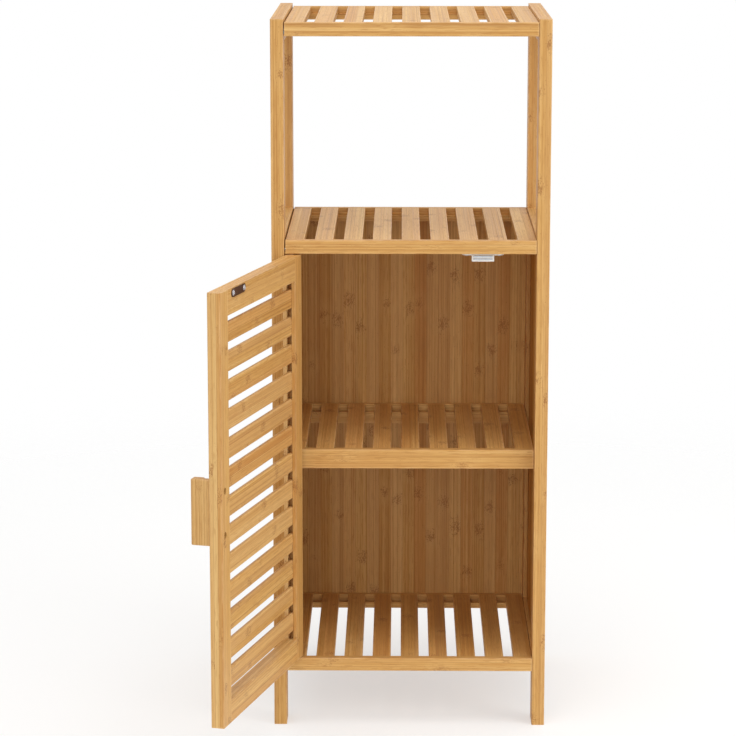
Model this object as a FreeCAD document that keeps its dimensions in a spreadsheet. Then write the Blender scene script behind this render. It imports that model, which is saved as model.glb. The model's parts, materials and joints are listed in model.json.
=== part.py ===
import FreeCAD, Part
import os
import Sketcher

# Freestanding slatted bamboo bathroom cabinet: an open bay above, a cupboard with a pivoting slatted door below.
# Frame: millimetres, +Z up, the front faces -Y, the origin is on the floor under the middle of the carcass.
# The door is modelled where it stands at rest, swung open about its two pivot pins.

# Driving sizes
SIZES = {
    # The whole carcass
    "overall_width": 365,
    "overall_depth": 330,
    "overall_height": 950,
    # Side frames: posts, rails and the panels held in their grooves
    "post_width": 17,
    "post_depth": 40,
    "edge_round": 1.5,
    "side_rail_height": 30,
    "panel_thickness": 6,
    "panel_groove_depth": 8,
    "groove_clearance": 0.2,
    # Back panel in a rabbet of the rear posts
    "back_thickness": 4,
    "back_rabbet": 8,
    "back_top_drop": 3,
    # Shelves: slats lying in the rabbets of a front and a rear rail
    "shelf_drop": 4,
    "cabinet_top_level": 662,
    "inner_shelf_level": 377,
    "bottom_shelf_level": 93.5,
    "shelf_rail_height": 18,
    "inner_rail_height": 26,
    "inner_setback": 20,
    "lip_depth": 10,
    "ledge_depth": 8,
    "catch_ledge_depth": 26,
    "rail_round": 1,
    "slat_width": 24.5,
    "slat_thickness": 10,
    "slat_count": 9,
    "slat_clearance": 0.2,
    "slat_round": 1,
    "left_joint": 1.5,
    "right_joint": 0.3,
    # Connector screws that hold the side frames to the shelf rails
    "frame_screw_inset": 14,
    "inner_screw_inset": 8,
    "frame_screw_diameter": 5,
    "frame_screw_length": 48,
    "frame_screw_head": 10,
    "frame_screw_head_height": 3,
    "frame_screw_key": 4,
    "frame_screw_key_depth": 2,
    "screw_clearance": 0.1,
    # Door: two stiles, two rails and the slats between them
    "door_angle": 105.5,
    "door_side_gap": 2,
    "door_end_gap": 1.3,
    "door_thickness": 17,
    "stile_width": 28.5,
    "door_top_rail_height": 32,
    "door_bottom_rail_height": 29.5,
    "tenon_shoulder": 10,
    "door_slat_width": 25.5,
    "door_slat_thickness": 6.5,
    "door_slat_count": 13,
    "door_slat_round": 2.5,
    "door_groove_depth": 9,
    # Pivot pins of the door and the bushes that they turn in
    "pivot_inset": 7,
    "pivot_depth": 5,
    "pin_diameter": 5,
    "pin_seat": 16,
    "pin_reach": 9,
    "pin_chamfer": 0.6,
    "pin_clearance": 0.05,
    "bush_wall": 1,
    "bush_length": 9,
    "bush_flange_diameter": 9,
    "bush_flange_thickness": 1,
    # Pull handle on the outside of the free stile
    "handle_height": 83.5,
    "handle_drop": 1.5,
    "handle_inset": 12,
    "handle_neck_width": 10,
    "handle_neck_length": 12,
    "handle_head_width": 14.5,
    "handle_head_length": 14.5,
    "handle_neck_round": 3,
    "handle_lip_round": 2,
    "handle_head_round": 3,
    "handle_end_round": 1.2,
    "handle_screw_spacing": 56,
    "handle_screw_diameter": 4,
    "handle_screw_length": 20,
    "handle_screw_head": 8.4,
    "handle_screw_head_height": 3,
    "handle_counterbore": 9.2,
    "handle_counterbore_depth": 9,
    # Strike plate on the inside of the door's top rail
    "strike_inset": 68,
    "strike_length": 52,
    "strike_height": 10.5,
    "strike_thickness": 1.2,
    "strike_drop": 1.4,
    "strike_corner": 5,
    "strike_screw_spacing": 41,
    "strike_screw_diameter": 3,
    "strike_screw_length": 13,
    "strike_screw_head": 7.6,
    "strike_screw_head_height": 1.2,
    "slot_width": 1,
    "slot_depth": 0.9,
    # Magnetic catch under the cabinet top's front rail
    "catch_flange_width": 55,
    "catch_flange_thickness": 4.6,
    "catch_flange_setback": 1.5,
    "catch_flange_corner": 6,
    "catch_body_width": 29.5,
    "catch_height": 12.8,
    "catch_depth": 14,
    "catch_round": 1,
    "catch_play": 0.3,
    "pole_width": 25,
    "pole_thickness": 1.7,
    "pole_proud": 0.6,
    "pole_clearance": 0.1,
    "pole_low": 2.4,
    "magnet_width": 22,
    "magnet_thickness": 1.6,
    "catch_web": 2.4,
    "catch_screw_spacing": 43,
    "catch_screw_diameter": 2.8,
    "catch_screw_length": 10,
    "catch_screw_head": 5.6,
    "catch_screw_head_height": 1.4,
}

# Places that follow from the driving sizes
LAYOUT = {
    "front": "-sizes.overall_depth / 2",
    "rear": "sizes.overall_depth / 2",
    "outer_left": "-sizes.overall_width / 2",
    "outer_right": "sizes.overall_width / 2",
    "inside_width": "sizes.overall_width - 2 * sizes.post_width",
    "inside_left": "outer_left + sizes.post_width",
    "inside_right": "outer_right - sizes.post_width",
    "rear_post_front": "rear - sizes.post_depth",
    "side_rail_length": "sizes.overall_depth - 2 * sizes.post_depth",
    "mid_rail_top": "sizes.cabinet_top_level + sizes.shelf_drop",
    "bottom_rail_top": "sizes.bottom_shelf_level + sizes.shelf_drop",
    "panel_groove": "sizes.panel_thickness + 2 * sizes.groove_clearance",
    "panel_groove_side": "(sizes.post_width - panel_groove) / 2",
    "panel_groove_low": "bottom_rail_top - sizes.panel_groove_depth",
    "panel_groove_high": "mid_rail_top - sizes.side_rail_height + sizes.panel_groove_depth",
    "back_front": "rear - sizes.back_thickness",
    "back_low": "sizes.bottom_shelf_level - sizes.shelf_rail_height",
    "back_high": "sizes.cabinet_top_level - sizes.back_top_drop",
    "shelf_left": "inside_left + sizes.left_joint",
    "shelf_width": "inside_width - sizes.left_joint - sizes.right_joint",
    "top_shelf_level": "sizes.overall_height - sizes.shelf_drop",
    "slat_run": "shelf_width - sizes.slat_width",
    "frame_screw_hole": "sizes.frame_screw_diameter + 2 * sizes.screw_clearance",
    "frame_screw_recess": "sizes.frame_screw_head + 2 * sizes.screw_clearance",
    "frame_screw_in_rail": "sizes.frame_screw_length + sizes.frame_screw_head_height - sizes.post_width",
    "door_width": "inside_width - 2 * sizes.door_side_gap",
    "door_bottom": "sizes.bottom_shelf_level + sizes.door_end_gap",
    "door_top": "sizes.cabinet_top_level - sizes.shelf_rail_height - sizes.door_end_gap",
    "door_height": "door_top - door_bottom",
    "door_middle": "door_height / 2",
    "door_inner_width": "door_width - 2 * sizes.stile_width",
    "door_groove": "sizes.door_slat_thickness + 2 * sizes.groove_clearance",
    "door_groove_side": "(sizes.door_thickness - door_groove) / 2",
    "door_slat_side": "(sizes.door_thickness - sizes.door_slat_thickness) / 2",
    "door_tongue": "sizes.door_groove_depth - sizes.groove_clearance",
    "door_field": "door_height - sizes.door_top_rail_height - sizes.door_bottom_rail_height",
    "door_slat_gap": "(door_field - sizes.door_slat_count * sizes.door_slat_width) / (sizes.door_slat_count + 1)",
    "door_slat_pitch": "sizes.door_slat_width + door_slat_gap",
    "pivot_x": "inside_left + sizes.door_side_gap + sizes.pivot_inset",
    "pivot_y": "front + sizes.pivot_depth",
    "pivot_in_shelf": "pivot_x - shelf_left",
    "open_cos": "cos(sizes.door_angle)",
    "open_sin": "sin(sizes.door_angle)",
    "door_free_edge": "door_width - sizes.pivot_inset",
    "door_outer_face": "-sizes.pivot_depth",
    "door_inner_face": "sizes.door_thickness - sizes.pivot_depth",
    "bush_diameter": "bush_bore + 2 * sizes.bush_wall",
    "bush_bore": "sizes.pin_diameter + 2 * sizes.pin_clearance",
    "handle_middle": "door_middle - sizes.handle_drop",
    "handle_screw_low": "handle_middle - sizes.handle_screw_spacing / 2",
    "handle_screw_hole": "sizes.handle_screw_diameter + 2 * sizes.screw_clearance",
    "handle_screw_in_stile": "sizes.door_thickness - sizes.handle_counterbore_depth",
    "strike_middle": "door_free_edge - sizes.strike_inset",
    "strike_centre_level": "door_top - sizes.strike_drop - sizes.strike_height / 2",
    "strike_screw_hole": "sizes.strike_screw_diameter + 2 * sizes.screw_clearance",
    "catch_middle": "pivot_x + strike_middle",
    "catch_top": "sizes.cabinet_top_level - sizes.shelf_rail_height",
    "catch_front": "front + sizes.door_thickness + sizes.strike_thickness + sizes.catch_play + sizes.pole_proud",
    "catch_body_height": "sizes.catch_height - sizes.catch_flange_thickness",
    "catch_screw_hole": "sizes.catch_screw_diameter + 2 * sizes.screw_clearance",
    "pole_slot": "sizes.pole_thickness + 2 * sizes.pole_clearance",
    "pole_slot_width": "sizes.pole_width + 2 * sizes.pole_clearance",
    "pole_slot_depth": "sizes.catch_depth - sizes.catch_web",
    "pole_length": "pole_slot_depth + sizes.pole_proud - sizes.pole_clearance",
}

# How far apart two places may be and still count as the same one
NEAR = 0.1

doc = FreeCAD.newDocument("bathroom_cabinet")
nodes = []


def fill_sheet(name, cells, mark):
    """A sheet with one named cell a row: the name beside its value, or beside its formula after an equals sign."""
    sheet = doc.addObject("Spreadsheet::Sheet", name)
    for row, (alias, value) in enumerate(cells.items(), start=1):
        sheet.set(f"A{row}", alias)
        sheet.set(f"B{row}", f"{mark}{value}")
        sheet.setAlias(f"B{row}", alias)
    doc.recompute()
    return sheet


fill_sheet("sizes", SIZES, "")
layout = fill_sheet("layout", LAYOUT, "=")


def value_of(expression):
    """The number that an expression over the two sheets comes to now."""
    return float(layout.evalExpression(str(expression)))


def bind(feature, **expressions):
    """Tie properties of a feature to expressions."""
    for name, expression in expressions.items():
        feature.setExpression(name, str(expression))


def place(body, x, y, z):
    """Tie the corner that a piece is modelled from to a place in the cabinet."""
    for axis, expression in zip("xyz", (x, y, z)):
        body.setExpression(f"Placement.Base.{axis}", str(expression))


def hang(body, along, across, level, turn=0):
    """Place a piece of the open door: its corner lies along and across the closed door from the pivot axis."""
    place(
        body,
        f"layout.pivot_x + ({along}) * layout.open_cos + ({across}) * layout.open_sin",
        f"layout.pivot_y - ({along}) * layout.open_sin + ({across}) * layout.open_cos",
        level,
    )
    body.setExpression("Placement.Rotation.Angle", f"{turn} - sizes.door_angle")


def new_body(label, is_node=True):
    """An empty body; a node is written out under its label."""
    body = doc.addObject("PartDesign::Body", label)
    body.Label = label
    if is_node:
        nodes.append(body)
    return body


def new_sketch(body, role, offset=0):
    """A sketch on one of the body's own origin planes, moved along the plane's normal."""
    plane = next(item for item in body.Origin.OriginFeatures if item.Role == role)
    sketch = body.newObject("Sketcher::SketchObject", f"{body.Name}_sketch")
    sketch.AttachmentSupport = [(plane, "")]
    sketch.MapMode = "FlatFace"
    sketch.setExpression("AttachmentOffset.Base.z", str(offset))
    return sketch


def fix_point(sketch, line, end, x, y):
    """Tie the end of a line, or a circle's centre, to a point measured from the sketch's origin."""
    for kind, axis, expression in (("DistanceX", -2, x), ("DistanceY", -1, y)):
        if expression == 0:
            sketch.addConstraint(Sketcher.Constraint("PointOnObject", line, end, axis))
            continue
        number = sketch.addConstraint(Sketcher.Constraint(kind, -1, 1, line, end, value_of(expression)))
        sketch.setExpression(f"Constraints[{number}]", str(expression))


def draw_polygon(sketch, *corners):
    """A closed outline through the given corners."""
    points = [FreeCAD.Vector(value_of(x), value_of(y), 0) for x, y in corners]
    first = sketch.GeometryCount
    for start, stop in zip(points, points[1:] + points[:1]):
        sketch.addGeometry(Part.LineSegment(start, stop))
    for index, (x, y) in enumerate(corners):
        line, following = first + index, first + (index + 1) % len(corners)
        sketch.addConstraint(Sketcher.Constraint("Coincident", line, 2, following, 1))
        fix_point(sketch, line, 1, x, y)


def draw_rectangle(sketch, left, low, right, high):
    """A rectangle from its left, low, right and high edges."""
    draw_polygon(sketch, (left, low), (right, low), (right, high), (left, high))


def draw_circle(sketch, x, y, diameter):
    """A circle of a diameter about a point."""
    centre = FreeCAD.Vector(value_of(x), value_of(y), 0)
    normal = FreeCAD.Vector(0, 0, 1)
    line = sketch.addGeometry(Part.Circle(centre, normal, value_of(diameter) / 2))
    fix_point(sketch, line, 3, x, y)
    number = sketch.addConstraint(Sketcher.Constraint("Diameter", line, value_of(diameter)))
    sketch.setExpression(f"Constraints[{number}]", str(diameter))


def pad(body, sketch, length, reverse=False):
    """Raise a sketch along its plane's normal, or against it."""
    feature = body.newObject("PartDesign::Pad", f"{body.Name}_pad")
    feature.Profile = sketch
    feature.Reversed = reverse
    bind(feature, Length=length)
    doc.recompute()
    return feature


def pocket(body, sketch, depth, reverse=False):
    """Sink a sketch against its plane's normal, or along it, and make sure that it took wood away."""
    before = body.Shape.Volume
    feature = body.newObject("PartDesign::Pocket", f"{body.Name}_pocket")
    feature.Profile = sketch
    feature.Reversed = reverse
    bind(feature, Length=depth)
    doc.recompute()
    if not body.Shape.Volume < before:
        raise RuntimeError(f"{feature.Name} of {body.Label} cuts nothing")
    return feature


def pick_edges(feature, wanted):
    """The names of a feature's edges that a test on their middle and direction picks."""
    names = []
    for number, edge in enumerate(feature.Shape.Edges, start=1):
        middle = edge.valueAt((edge.FirstParameter + edge.LastParameter) / 2)
        direction = edge.tangentAt(edge.FirstParameter)
        if wanted(middle, direction):
            names.append(f"Edge{number}")
    return names


def round_edges(body, radius, wanted):
    """Fillet the wanted edges of the body's last feature."""
    base = body.Tip
    feature = body.newObject("PartDesign::Fillet", f"{body.Name}_round")
    feature.Base = (base, pick_edges(base, wanted))
    bind(feature, Radius=radius)
    doc.recompute()
    return feature


def bevel_edges(body, size, wanted):
    """Chamfer the wanted edges of the body's last feature."""
    base = body.Tip
    feature = body.newObject("PartDesign::Chamfer", f"{body.Name}_bevel")
    feature.Base = (base, pick_edges(base, wanted))
    bind(feature, Size=size)
    doc.recompute()
    return feature


def stands_at(point, corner):
    """Whether a point lies above or below a corner of an outline."""
    return abs(point.x - corner.x) < NEAR and abs(point.y - corner.y) < NEAR


def on_level(point, levels):
    """Whether a point lies on one of the given levels."""
    return any(abs(point.z - level) < NEAR for level in levels)


def repeat(body, features, role, length, count):
    """Repeat features in a row along one of the body's own axes, as separate solids."""
    axis = next(item for item in body.Origin.OriginFeatures if item.Role == role)
    body.AllowCompound = True
    row = body.newObject("PartDesign::LinearPattern", f"{body.Name}_row")
    row.Originals = features
    row.Direction = (axis, [""])
    bind(row, Length=length, Occurrences=count)
    body.Tip = row
    doc.recompute()


def board(label, width, depth, height):
    """A squared board that stands on its lower left front corner."""
    body = new_body(label)
    sketch = new_sketch(body, "XY_Plane")
    draw_rectangle(sketch, 0, 0, width, depth)
    pad(body, sketch, height)
    return body


def screw(name, diameter, length, head, head_height, drive):
    """A screw along +Y from under its head, which stands towards -Y, with a slot or a hexagon sunk in the head."""
    body = new_body(name, is_node=False)
    shank = new_sketch(body, "XZ_Plane")
    draw_circle(shank, 0, 0, diameter)
    pad(body, shank, length, reverse=True)
    cap = new_sketch(body, "XZ_Plane")
    draw_circle(cap, 0, 0, head)
    pad(body, cap, head_height)
    crown = -value_of(head_height)
    bevel_edges(body, f"{head_height} / 2", lambda at, along: abs(at.y - crown) < NEAR)
    drive(body, head, head_height)
    return body


def hexagon_drive(body, head, head_height):
    """A hexagon socket for a key."""
    sketch = new_sketch(body, "XZ_Plane", head_height)
    flat = "sizes.frame_screw_key / 2"
    corner = "sizes.frame_screw_key / sqrt(3)"
    half = f"{corner} / 2"
    draw_polygon(
        sketch,
        (corner, 0),
        (half, flat),
        (f"-({half})", flat),
        (f"-({corner})", 0),
        (f"-({half})", f"-({flat})"),
        (half, f"-({flat})"),
    )
    pocket(body, sketch, "sizes.frame_screw_key_depth")


def slot_drive(body, head, head_height):
    """A straight slot across the head."""
    sketch = new_sketch(body, "XZ_Plane", head_height)
    reach, half = f"{head}", "sizes.slot_width / 2"
    draw_rectangle(sketch, f"-({reach})", f"-({half})", reach, half)
    pocket(body, sketch, "sizes.slot_depth")


def group(label, pieces):
    """Like pieces as one node of separate solids."""
    compound = doc.addObject("Part::Compound", label)
    compound.Label = label
    compound.Links = pieces
    nodes.append(compound)
    doc.recompute()
    return compound


# Shelves, from the top down: where each stands and which rail heights and insets it has
SHELVES = (
    {
        "name": "top_shelf",
        "level": "layout.top_shelf_level",
        "front": "layout.front",
        "rear": "layout.rear",
        "height": "sizes.shelf_rail_height",
        "front_ledge": "sizes.ledge_depth",
        "front_inset": "sizes.frame_screw_inset",
    },
    {
        "name": "cabinet_top",
        "level": "sizes.cabinet_top_level",
        "front": "layout.front",
        "rear": "layout.back_front",
        "height": "sizes.shelf_rail_height",
        "front_ledge": "sizes.catch_ledge_depth",
        "front_inset": "sizes.frame_screw_inset",
    },
    {
        "name": "inner_shelf",
        "level": "sizes.inner_shelf_level",
        "front": "layout.front + sizes.inner_setback",
        "rear": "layout.back_front",
        "height": "sizes.inner_rail_height",
        "front_ledge": "sizes.ledge_depth",
        "front_inset": "sizes.inner_screw_inset",
    },
    {
        "name": "bottom_shelf",
        "level": "sizes.bottom_shelf_level",
        "front": "layout.front",
        "rear": "layout.back_front",
        "height": "sizes.shelf_rail_height",
        "front_ledge": "sizes.ledge_depth",
        "front_inset": "sizes.frame_screw_inset",
    },
)


def screw_level(shelf):
    """Connector screws enter a rail at half the height of its ledge."""
    return f"{shelf['level']} - {shelf['height']} + ({shelf['height']} - sizes.slat_thickness) / 2"


def screw_places(end):
    """The depth and level of each connector screw of the front or the rear posts."""
    if end == "front":
        return [(f"{shelf['front']} + {shelf['front_inset']}", screw_level(shelf)) for shelf in SHELVES]
    return [(f"{shelf['rear']} - sizes.frame_screw_inset", screw_level(shelf)) for shelf in SHELVES]


def post(end, side):
    """A full-height post: rounded outer edges, a groove for the side panel, recessed screw holes."""
    body = board(f"{end}_{side}_post", "sizes.post_width", "sizes.post_depth", "sizes.overall_height")
    outer_left = side == "left"
    corner_y = "layout.front" if end == "front" else "layout.rear_post_front"
    place(body, "layout.outer_left" if outer_left else "layout.inside_right", corner_y, 0)
    outside = 0 if end == "front" else value_of("sizes.post_depth")
    round_edges(body, "sizes.edge_round", lambda at, along: abs(along.z) > 0.9 and abs(at.y - outside) < NEAR)

    groove_start = "sizes.post_depth - sizes.panel_groove_depth" if end == "front" else 0
    groove_stop = "sizes.post_depth" if end == "front" else "sizes.panel_groove_depth"
    groove = new_sketch(body, "XY_Plane", "layout.panel_groove_high")
    groove_far = "layout.panel_groove_side + layout.panel_groove"
    draw_rectangle(groove, "layout.panel_groove_side", groove_start, groove_far, groove_stop)
    pocket(body, groove, "layout.panel_groove_high - layout.panel_groove_low")

    holes = new_sketch(body, "YZ_Plane")
    recesses = new_sketch(body, "YZ_Plane", 0 if outer_left else "sizes.post_width")
    for depth, level in screw_places(end):
        draw_circle(holes, f"{depth} - ({corner_y})", level, "layout.frame_screw_hole")
        draw_circle(recesses, f"{depth} - ({corner_y})", level, "layout.frame_screw_recess")
    pocket(body, holes, "sizes.post_width", reverse=True)
    pocket(body, recesses, "sizes.frame_screw_head_height", reverse=outer_left)

    if end == "rear":
        rabbet = new_sketch(body, "XY_Plane", "layout.back_high")
        start = "sizes.post_width - sizes.back_rabbet" if outer_left else 0
        stop = "sizes.post_width" if outer_left else "sizes.back_rabbet"
        draw_rectangle(rabbet, start, "sizes.post_depth - sizes.back_thickness", stop, "sizes.post_depth")
        pocket(body, rabbet, "layout.back_high - layout.back_low")


def side_rail(name, side, top, grooved_face):
    """A rail between the two posts of a side frame, grooved on the face that holds the side panel."""
    body = board(f"{side}_{name}_rail", "sizes.post_width", "layout.side_rail_length", "sizes.side_rail_height")
    corner_x = "layout.outer_left" if side == "left" else "layout.inside_right"
    place(body, corner_x, "layout.front + sizes.post_depth", f"{top} - sizes.side_rail_height")
    if grooved_face:
        above = grooved_face == "top"
        groove = new_sketch(body, "XY_Plane", "sizes.side_rail_height" if above else 0)
        groove_far = "layout.panel_groove_side + layout.panel_groove"
        draw_rectangle(groove, "layout.panel_groove_side", 0, groove_far, "layout.side_rail_length")
        pocket(body, groove, "sizes.panel_groove_depth", reverse=not above)


def side_panel(side):
    """A thin panel whose four edges lie in the grooves of the side frame."""
    clearance = "sizes.groove_clearance"
    tongue = f"(sizes.panel_groove_depth - {clearance})"
    body = board(
        f"{side}_side_panel",
        "sizes.panel_thickness",
        f"layout.side_rail_length + 2 * {tongue}",
        f"layout.panel_groove_high - layout.panel_groove_low - 2 * {clearance}",
    )
    frame_x = "layout.outer_left" if side == "left" else "layout.inside_right"
    place(
        body,
        f"{frame_x} + layout.panel_groove_side + {clearance}",
        f"layout.front + sizes.post_depth - {tongue}",
        f"layout.panel_groove_low + {clearance}",
    )


def back_panel():
    """A thin panel in the rabbets of the rear posts, behind the cupboard alone."""
    clearance = "sizes.groove_clearance"
    tongue = f"(sizes.back_rabbet - {clearance})"
    body = board(
        "back_panel",
        f"layout.inside_width + 2 * {tongue}",
        "sizes.back_thickness",
        f"layout.back_high - layout.back_low - 2 * {clearance}",
    )
    place(body, f"layout.inside_left - {tongue}", "layout.back_front", f"layout.back_low + {clearance}")


def shelf_rail(shelf, end):
    """A rail across the cabinet: a lip as high as the slats and a ledge that they lie on, bored at both ends."""
    front = end == "front"
    ledge = shelf["front_ledge"] if front else "sizes.ledge_depth"
    inset = shelf["front_inset"] if front else "sizes.frame_screw_inset"
    depth, height = f"(sizes.lip_depth + {ledge})", shelf["height"]
    seat = f"({height} - sizes.slat_thickness)"
    body = new_body(f"{shelf['name']}_{end}_rail")
    section = new_sketch(body, "YZ_Plane")
    if front:
        lip = "sizes.lip_depth"
        draw_polygon(section, (0, 0), (depth, 0), (depth, seat), (lip, seat), (lip, height), (0, height))
    else:
        draw_polygon(section, (0, 0), (depth, 0), (depth, height), (ledge, height), (ledge, seat), (0, seat))
    pad(body, section, "layout.shelf_width")
    face = 0 if front else value_of(depth)
    round_edges(body, "sizes.rail_round", lambda at, along: abs(along.x) > 0.9 and abs(at.y - face) < NEAR)

    bore_y = inset if front else f"{depth} - {inset}"
    left_length = "layout.frame_screw_in_rail - sizes.left_joint + sizes.screw_clearance"
    right_length = "layout.frame_screw_in_rail - sizes.right_joint + sizes.screw_clearance"
    for offset, length, inward in ((0, left_length, True), ("layout.shelf_width", right_length, False)):
        bore = new_sketch(body, "YZ_Plane", offset)
        draw_circle(bore, bore_y, f"{seat} / 2", "layout.frame_screw_hole")
        pocket(body, bore, length, reverse=inward)

    corner_y = shelf["front"] if front else f"{shelf['rear']} - {depth}"
    place(body, "layout.shelf_left", corner_y, f"{shelf['level']} - {height}")
    return body


def shelf_slats(shelf):
    """The slats of one shelf, evenly spread from side to side and lying on both ledges."""
    body = new_body(f"{shelf['name']}_slats")
    depth = f"({shelf['rear']} - ({shelf['front']}) - 2 * (sizes.lip_depth + sizes.slat_clearance))"
    section = new_sketch(body, "XY_Plane")
    draw_rectangle(section, 0, 0, "sizes.slat_width", depth)
    bar = pad(body, section, "sizes.slat_thickness")
    soft = round_edges(body, "sizes.slat_round", lambda at, along: abs(along.y) > 0.9)
    repeat(body, [bar, soft], "X_Axis", "layout.slat_run", "sizes.slat_count")
    place(
        body,
        "layout.shelf_left",
        f"{shelf['front']} + sizes.lip_depth + sizes.slat_clearance",
        f"{shelf['level']} - sizes.slat_thickness",
    )


def frame_screws(side):
    """The connector screws that go in from the outside of one side frame, their heads flush with the posts."""
    pieces = []
    for depth, level in screw_places("front") + screw_places("rear"):
        body = screw(
            f"{side}_frame_screw",
            "sizes.frame_screw_diameter",
            "sizes.frame_screw_length",
            "sizes.frame_screw_head",
            "sizes.frame_screw_head_height",
            hexagon_drive,
        )
        sunk = "sizes.frame_screw_head_height"
        left = side == "left"
        place(body, f"layout.outer_left + {sunk}" if left else f"layout.outer_right - {sunk}", depth, level)
        body.setExpression("Placement.Rotation.Angle", "-90" if left else "90")
        pieces.append(body)
    group(f"{side}_frame_screws", pieces)


def door_stile(name, along, hinged):
    """An upright of the door, grooved along its inner edge for the slats and the rails' tenons."""
    body = board(f"door_{name}_stile", "sizes.stile_width", "sizes.door_thickness", "layout.door_height")
    hang(body, along, "layout.door_outer_face", "layout.door_bottom")
    outside = 0 if hinged else value_of("sizes.stile_width")
    round_edges(body, "sizes.edge_round", lambda at, along: abs(along.z) > 0.9 and abs(at.x - outside) < NEAR)
    groove = new_sketch(body, "XY_Plane", "sizes.tenon_shoulder")
    start = "sizes.stile_width - sizes.door_groove_depth" if hinged else 0
    stop = "sizes.stile_width" if hinged else "sizes.door_groove_depth"
    side = "layout.door_groove_side"
    draw_rectangle(groove, start, side, stop, f"{side} + layout.door_groove")
    pocket(body, groove, "layout.door_height - 2 * sizes.tenon_shoulder", reverse=True)
    return body


def door_rail(name, height, level, tongue_low, tongue_high):
    """A cross piece of the door with a tenon at each end, kept short of the door's outer edge."""
    body = board(f"door_{name}_rail", "layout.door_inner_width", "sizes.door_thickness", height)
    hang(body, "sizes.stile_width - sizes.pivot_inset", "layout.door_outer_face", level)
    far = "layout.door_inner_width + layout.door_tongue"
    tenon = new_sketch(body, "XZ_Plane", "-layout.door_slat_side")
    draw_rectangle(tenon, "-layout.door_tongue", tongue_low, far, tongue_high)
    pad(body, tenon, "sizes.door_slat_thickness", reverse=True)
    return body


def door_slats():
    """The door's slats with rounded edges, their ends in the grooves of the stiles."""
    body = new_body("door_slats")
    length = "layout.door_inner_width + 2 * layout.door_tongue"
    section = new_sketch(body, "YZ_Plane")
    draw_rectangle(section, 0, 0, "sizes.door_slat_thickness", "sizes.door_slat_width")
    bar = pad(body, section, length)
    soft = round_edges(body, "sizes.door_slat_round", lambda at, along: abs(along.x) > 0.9)
    run = "layout.door_slat_pitch * (sizes.door_slat_count - 1)"
    repeat(body, [bar, soft], "Z_Axis", run, "sizes.door_slat_count")
    hang(
        body,
        "sizes.stile_width - sizes.pivot_inset - layout.door_tongue",
        "layout.door_outer_face + layout.door_slat_side",
        "layout.door_bottom + sizes.door_bottom_rail_height + layout.door_slat_gap",
    )


def pivot_pin(name, level):
    """A round steel pin fixed in one end of the hinge stile, standing out of it into the shelf rail."""
    body = new_body(f"door_{name}_pivot_pin")
    section = new_sketch(body, "XY_Plane")
    draw_circle(section, 0, 0, "sizes.pin_diameter")
    pad(body, section, "sizes.pin_seat + sizes.pin_reach")
    bevel_edges(body, "sizes.pin_chamfer", lambda at, along: abs(along.z) < NEAR)
    place(body, "layout.pivot_x", "layout.pivot_y", level)


def pivot_bush(name, level, upside_down):
    """A flanged bush let into a shelf rail, with its flange between the rail and the door."""
    body = new_body(f"{name}_pivot_bush")
    flange = new_sketch(body, "XY_Plane")
    draw_circle(flange, 0, 0, "sizes.bush_flange_diameter")
    pad(body, flange, "sizes.bush_flange_thickness", reverse=True)
    sleeve = new_sketch(body, "XY_Plane")
    draw_circle(sleeve, 0, 0, "layout.bush_diameter")
    pad(body, sleeve, "sizes.bush_length")
    bore = new_sketch(body, "XY_Plane", "sizes.bush_length")
    draw_circle(bore, 0, 0, "layout.bush_bore")
    pocket(body, bore, "sizes.bush_length + sizes.bush_flange_thickness")
    if upside_down:
        body.Placement.Rotation = FreeCAD.Rotation(FreeCAD.Vector(1, 0, 0), 180)
    place(body, "layout.pivot_x", "layout.pivot_y", level)


def bush_seat(rail, from_above):
    """The hole in a shelf rail's lip that holds a pivot bush."""
    seat = new_sketch(rail, "XY_Plane", "sizes.shelf_rail_height" if from_above else 0)
    draw_circle(seat, "layout.pivot_in_shelf", "sizes.pivot_depth", "layout.bush_diameter")
    pocket(rail, seat, "sizes.bush_length", reverse=not from_above)


def pin_seats(stile):
    """The holes for the pivot pins in both ends of the hinge stile."""
    for offset, upwards in ((0, True), ("layout.door_height", False)):
        seat = new_sketch(stile, "XY_Plane", offset)
        draw_circle(seat, "sizes.pivot_inset", "sizes.pivot_depth", "sizes.pin_diameter")
        pocket(stile, seat, "sizes.pin_seat", reverse=upwards)


def handle_holes(stile):
    """Two holes through the free stile, widened from the inside for the heads of the handle's screws."""
    across = "sizes.stile_width - sizes.handle_inset"
    holes = new_sketch(stile, "XZ_Plane")
    widened = new_sketch(stile, "XZ_Plane", "-layout.handle_screw_in_stile")
    for level in ("layout.handle_screw_low", "layout.handle_screw_low + sizes.handle_screw_spacing"):
        draw_circle(holes, across, level, "layout.handle_screw_hole")
        draw_circle(widened, across, level, "sizes.handle_counterbore")
    pocket(stile, holes, "sizes.door_thickness")
    pocket(stile, widened, "sizes.handle_counterbore_depth")


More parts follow.
